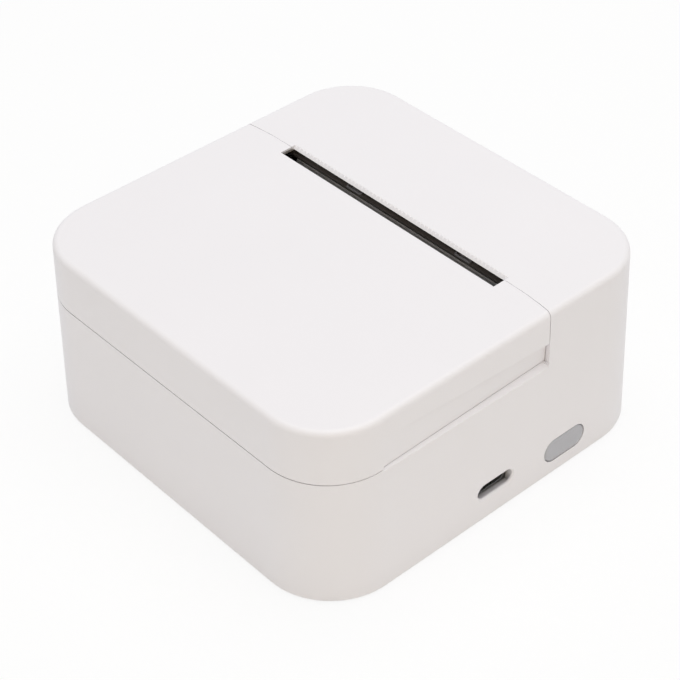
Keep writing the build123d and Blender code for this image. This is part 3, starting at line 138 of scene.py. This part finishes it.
def tone(colour, factor):
    """A colour made lighter or darker by a factor."""
    return (*[min(1.0, part * factor) for part in colour[:3]], 1.0)


def finish_surface(nodes, shader):
    nodes.link(shader.outputs["BSDF"], nodes.output.inputs["Surface"])
    return nodes.material


def moulded_plastic(name, colour, rough, grain, depth, vary, sheen=0.5):
    """Injection-moulded plastic: a fine eroded grain, a faint flow in colour and gloss."""
    nodes = Nodes(name)
    shader = nodes.add("ShaderNodeBsdfPrincipled")
    shader.inputs["Specular IOR Level"].default_value = sheen
    cloud = nodes.noise(38, 2.0)
    shade = nodes.blend(nodes.spread(cloud, 0, 1), tone(colour, vary), colour)
    nodes.link(shade, shader.inputs["Base Color"])
    fine = nodes.noise(grain, 2.0, 0.6)
    gloss = nodes.noise(120, 3.0)
    nodes.link(nodes.spread(gloss, rough - 0.03, rough + 0.04), shader.inputs["Roughness"])
    nodes.link(nodes.bump(fine, depth * MM), shader.inputs["Normal"])
    return finish_surface(nodes, shader)


def rubber(name, colour, rough=0.75, grain=5200, depth=0.012, vary=0.12):
    """Ground rubber with a dusty bloom."""
    nodes = Nodes(name)
    shader = nodes.add("ShaderNodeBsdfPrincipled")
    shader.inputs["Specular IOR Level"].default_value = 0.35
    cloud = nodes.noise(260, 4.0)
    shade = nodes.blend(nodes.spread(cloud, 0, 1), tone(colour, 1 - vary), tone(colour, 1 + vary))
    nodes.link(shade, shader.inputs["Base Color"])
    fine = nodes.noise(grain, 4.0, 0.65)
    nodes.link(nodes.spread(fine, rough - 0.06, rough + 0.08), shader.inputs["Roughness"])
    nodes.link(nodes.bump(fine, depth * MM), shader.inputs["Normal"])
    return finish_surface(nodes, shader)


def metal(name, colour, rough, stretch, scale, depth=0.004, tarnish=0.93):
    """Metal with the lines of its working and a slight unevenness."""
    nodes = Nodes(name)
    shader = nodes.add("ShaderNodeBsdfPrincipled", Metallic=1.0)
    lines = nodes.noise(scale, 5.0, 0.6, stretch)
    cloud = nodes.noise(150, 3.0)
    shade = nodes.blend(nodes.spread(cloud, 0, 1), tone(colour, tarnish), colour)
    nodes.link(shade, shader.inputs["Base Color"])
    nodes.link(nodes.spread(lines, rough - 0.07, rough + 0.09), shader.inputs["Roughness"])
    nodes.link(nodes.bump(lines, depth * MM), shader.inputs["Normal"])
    return finish_surface(nodes, shader)


def laminate(name, colour):
    """Solder mask over a woven board, with a faint trace of the copper beneath."""
    nodes = Nodes(name)
    shader = nodes.add("ShaderNodeBsdfPrincipled")
    shader.inputs["Coat Weight"].default_value = 0.4
    shader.inputs["Coat Roughness"].default_value = 0.2
    tracks = nodes.add("ShaderNodeTexBrick", Scale=260.0)
    nodes.link(nodes.place(), tracks.inputs["Vector"])
    tracks.inputs["Color1"].default_value = tone(colour, 1.0)
    tracks.inputs["Color2"].default_value = tone(colour, 1.25)
    tracks.inputs["Mortar"].default_value = tone(colour, 0.75)
    nodes.link(tracks.outputs["Color"], shader.inputs["Base Color"])
    weave = nodes.noise(4200, 2.0)
    nodes.link(nodes.spread(weave, 0.3, 0.42), shader.inputs["Roughness"])
    nodes.link(nodes.bump(weave, 0.004 * MM), shader.inputs["Normal"])
    return finish_surface(nodes, shader)


WHITE = srgb(243, 241, 244)
# The material of each slot. Plastics: colour, roughness, grain per metre, its depth in mm, the flow's shade
# Metals: colour, roughness, stretch of the working lines, lines per metre
MATERIALS = {
    "case_plastic": lambda n: moulded_plastic(n, WHITE, 0.42, 7000, 0.004, 0.99),
    "button_plastic": lambda n: moulded_plastic(n, srgb(186, 187, 193), 0.48, 6500, 0.005, 0.97),
    "dark_plastic": lambda n: moulded_plastic(n, srgb(58, 58, 60), 0.5, 5200, 0.008, 0.9),
    "frame_plastic": lambda n: moulded_plastic(n, srgb(98, 92, 88), 0.42, 5200, 0.008, 0.88),
    "gear_plastic": lambda n: moulded_plastic(n, srgb(228, 226, 216), 0.36, 4200, 0.004, 0.97),
    "bush_plastic": lambda n: moulded_plastic(n, srgb(196, 192, 182), 0.4, 4200, 0.004, 0.96),
    "roller_rubber": lambda n: rubber(n, srgb(156, 155, 155), vary=0.04),
    "foot_rubber": lambda n: rubber(n, srgb(92, 92, 94)),
    "steel": lambda n: metal(n, srgb(196, 196, 198), 0.26, (0.05, 1, 1), 2600),
    "screw_steel": lambda n: metal(n, srgb(186, 186, 190), 0.24, (1, 1, 1), 1500),
    "spring_steel": lambda n: metal(n, srgb(196, 195, 196), 0.34, (1, 1, 1), 2200),
    "motor_can": lambda n: metal(n, srgb(192, 193, 194), 0.34, (0.1, 1, 1), 1100),
    "brass": lambda n: metal(n, srgb(214, 176, 98), 0.27, (1, 1, 1), 1800),
    "sink_metal": lambda n: metal(n, srgb(206, 206, 208), 0.38, (0.03, 1, 1), 2400),
    "head_ceramic": lambda n: moulded_plastic(n, srgb(250, 248, 250), 0.18, 2600, 0.003, 0.97, 0.9),
    "black_resin": lambda n: moulded_plastic(n, srgb(26, 26, 28), 0.55, 3800, 0.006, 0.85),
    "flex_film": lambda n: moulded_plastic(n, srgb(190, 118, 44), 0.3, 2600, 0.003, 0.9, 0.6),
    "board_laminate": lambda n: laminate(n, srgb(22, 82, 52)),
    "shield_metal": lambda n: metal(n, srgb(198, 198, 198), 0.3, (1, 1, 1), 1900),
    "connector_plastic": lambda n: moulded_plastic(n, srgb(232, 226, 208), 0.4, 4200, 0.004, 0.96),
    "socket_plastic": lambda n: moulded_plastic(n, srgb(34, 34, 36), 0.45, 4200, 0.004, 0.9),
    "plunger_plastic": lambda n: moulded_plastic(n, srgb(64, 64, 66), 0.45, 4200, 0.004, 0.9),
    "battery_wrap": lambda n: metal(n, srgb(172, 175, 182), 0.42, (1, 1, 1), 500),
    "pad_foam": lambda n: rubber(n, srgb(214, 213, 208), 0.9, 3600, 0.05),
    "lead_insulation": lambda n: moulded_plastic(n, srgb(176, 30, 26), 0.4, 4200, 0.004, 0.92),
}


def dress_nodes():
    """Gives every CAD node the material of its slot."""
    made = {}
    for row in frame["record"]["subparts"]:
        slot = row["material_slot"]
        if slot not in made:
            made[slot] = MATERIALS[slot]("look_" + slot)
        node = NODES[row["node"]]
        node.data.materials.clear()
        node.data.materials.append(made[slot])
    return made


# Floor, world and lamps
FLOOR_HALF = 6.0
BACKDROP_SHARE = 0.85
WORLD_STRENGTH = 0.44
AIM = (0, 0, 0.02)
# Name, place, edge in metres, power in watts, colour
LAMPS = [
    ("top_softbox", (0.05, 0.1, 0.9), 0.9, 5.0, (0.985, 0.99, 1.0)),
    ("side_softbox", (0.8, -0.5, 0.45), 0.7, 0.95, (1.0, 0.68, 0.2)),
    ("front_softbox", (-0.1, -0.95, 0.4), 0.7, 0.5, (1.0, 0.95, 0.9)),
]


def backdrop_material():
    """Pale floor: white to the camera and in reflections, with the object's shadow kept on it."""
    nodes = Nodes("backdrop")
    diffuse = nodes.add("ShaderNodeBsdfDiffuse")
    speckle = nodes.noise(9, 2.0)
    shade = nodes.blend(nodes.spread(speckle, 0, 1), (0.965, 0.965, 0.965, 1), (0.98, 0.98, 0.98, 1))
    nodes.link(shade, diffuse.inputs["Color"])
    glow = nodes.add("ShaderNodeEmission", Strength=1.0)
    glow.inputs["Color"].default_value = (1, 1, 1, 1)
    path = nodes.add("ShaderNodeLightPath")
    share = nodes.add("ShaderNodeMath", operation="MAXIMUM")
    nodes.link(path.outputs["Is Camera Ray"], share.inputs[0])
    nodes.link(path.outputs["Is Glossy Ray"], share.inputs[1])
    part = nodes.add("ShaderNodeMath", operation="MULTIPLY")
    nodes.link(share.outputs[0], part.inputs[0])
    part.inputs[1].default_value = BACKDROP_SHARE
    mix = nodes.add("ShaderNodeMixShader")
    nodes.link(part.outputs[0], mix.inputs[0])
    nodes.link(diffuse.outputs[0], mix.inputs[1])
    nodes.link(glow.outputs[0], mix.inputs[2])
    nodes.link(mix.outputs[0], nodes.output.inputs["Surface"])
    return nodes.material


def make_floor():
    corners = [(x * FLOOR_HALF, y * FLOOR_HALF, 0) for x, y in ((-1, -1), (1, -1), (1, 1), (-1, 1))]
    mesh = bpy.data.meshes.new("floor")
    mesh.from_pydata(corners, [], [(0, 1, 2, 3)])
    mesh.materials.append(backdrop_material())
    floor = bpy.data.objects.new("floor", mesh)
    floor.location.z = -FLOOR_GAP
    bpy.context.scene.collection.objects.link(floor)


def make_world(strength):
    world = bpy.data.worlds.new("studio")
    world.use_nodes = True
    tree = world.node_tree
    tree.nodes.clear()
    out = tree.nodes.new("ShaderNodeOutputWorld")
    light = tree.nodes.new("ShaderNodeBackground")
    light.inputs["Color"].default_value = (1.0, 0.995, 0.985, 1)
    light.inputs["Strength"].default_value = strength
    white = tree.nodes.new("ShaderNodeBackground")
    white.inputs["Color"].default_value = (1, 1, 1, 1)
    white.inputs["Strength"].default_value = 1.0
    path = tree.nodes.new("ShaderNodeLightPath")
    seen = tree.nodes.new("ShaderNodeMath")
    seen.operation = "MAXIMUM"
    also = tree.nodes.new("ShaderNodeMath")
    also.operation = "MAXIMUM"
    mix = tree.nodes.new("ShaderNodeMixShader")
    link = tree.links.new
    link(path.outputs["Is Camera Ray"], seen.inputs[0])
    link(path.outputs["Is Glossy Ray"], seen.inputs[1])
    link(seen.outputs[0], also.inputs[0])
    link(path.outputs["Is Transmission Ray"], also.inputs[1])
    link(also.outputs[0], mix.inputs[0])
    link(light.outputs[0], mix.inputs[1])
    link(white.outputs[0], mix.inputs[2])
    link(mix.outputs[0], out.inputs["Surface"])
    bpy.context.scene.world = world


def area_lamp(name, place, size, power, colour):
    data = bpy.data.lights.new(name, "AREA")
    data.color = colour
    data.shape = "SQUARE"
    data.size = size
    data.energy = power
    lamp = bpy.data.objects.new(name, data)
    lamp.location = place
    lamp.rotation_euler = (Vector(AIM) - Vector(place)).to_track_quat("-Z", "Y").to_euler()
    bpy.context.scene.collection.objects.link(lamp)


make_camera()
make_floor()
make_world(WORLD_STRENGTH)
for lamp in LAMPS:
    area_lamp(*lamp)
dress_nodes()

bpy.context.scene.view_settings.view_transform = "Standard"
